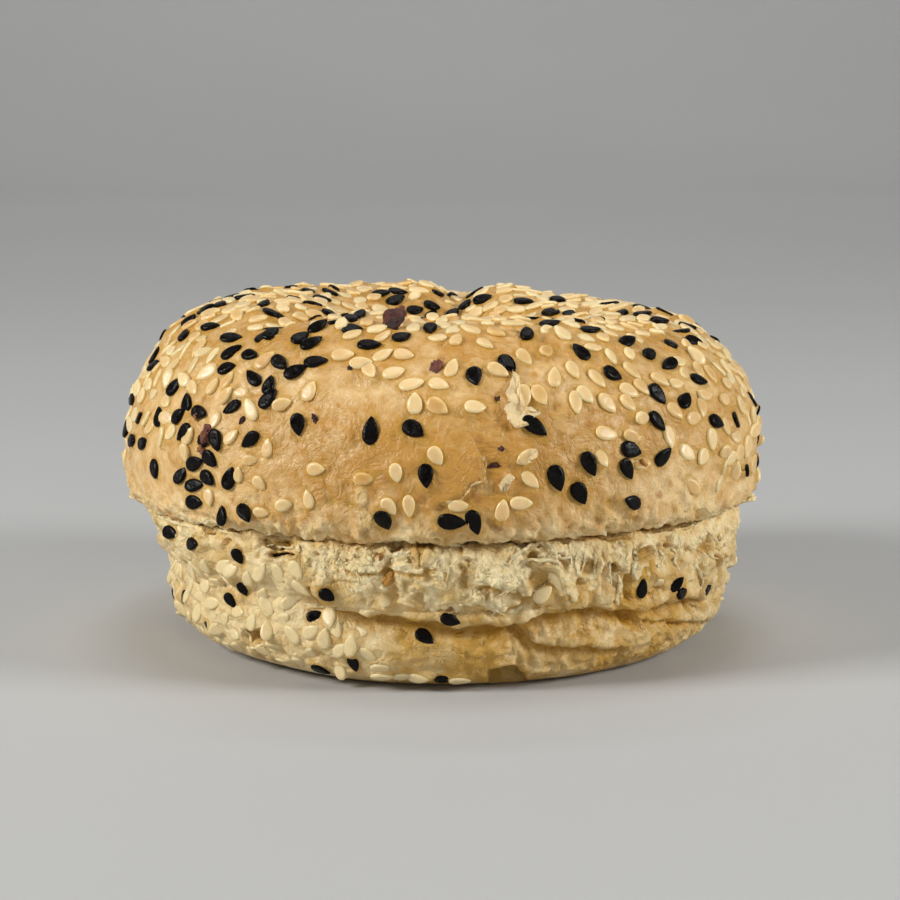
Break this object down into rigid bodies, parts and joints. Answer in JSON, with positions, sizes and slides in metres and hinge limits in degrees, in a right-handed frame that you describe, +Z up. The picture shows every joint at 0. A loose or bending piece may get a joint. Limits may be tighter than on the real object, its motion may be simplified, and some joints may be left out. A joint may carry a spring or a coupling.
{
  "type": "bagel",
  "caption": "Seeded bagel with a golden crown, a torn waist of pale crumb, a narrow hole and a flat underside, to lie on a plate, board or tray.",
  "frame": {"origin": "on the surface that the bagel rests on, under the middle of the bagel", "axes": "+Z up, -Y towards the front of the bagel, +X to the right seen from the front"},
  "size_m": [0.0953, 0.0911, 0.0508],
  "materials": {
    "crust": "golden baked crust, pale and satin, browned in spots",
    "crumb": "torn pale crumb, matt and ragged",
    "pale_seed": "toasted white sesame, satin",
    "dark_seed": "black sesame, soft sheen",
    "flake": "dark dry flake, matt"
  },
  "bodies": {
    "root": {"bagel": "crust"}
  },
  "joints": []
}
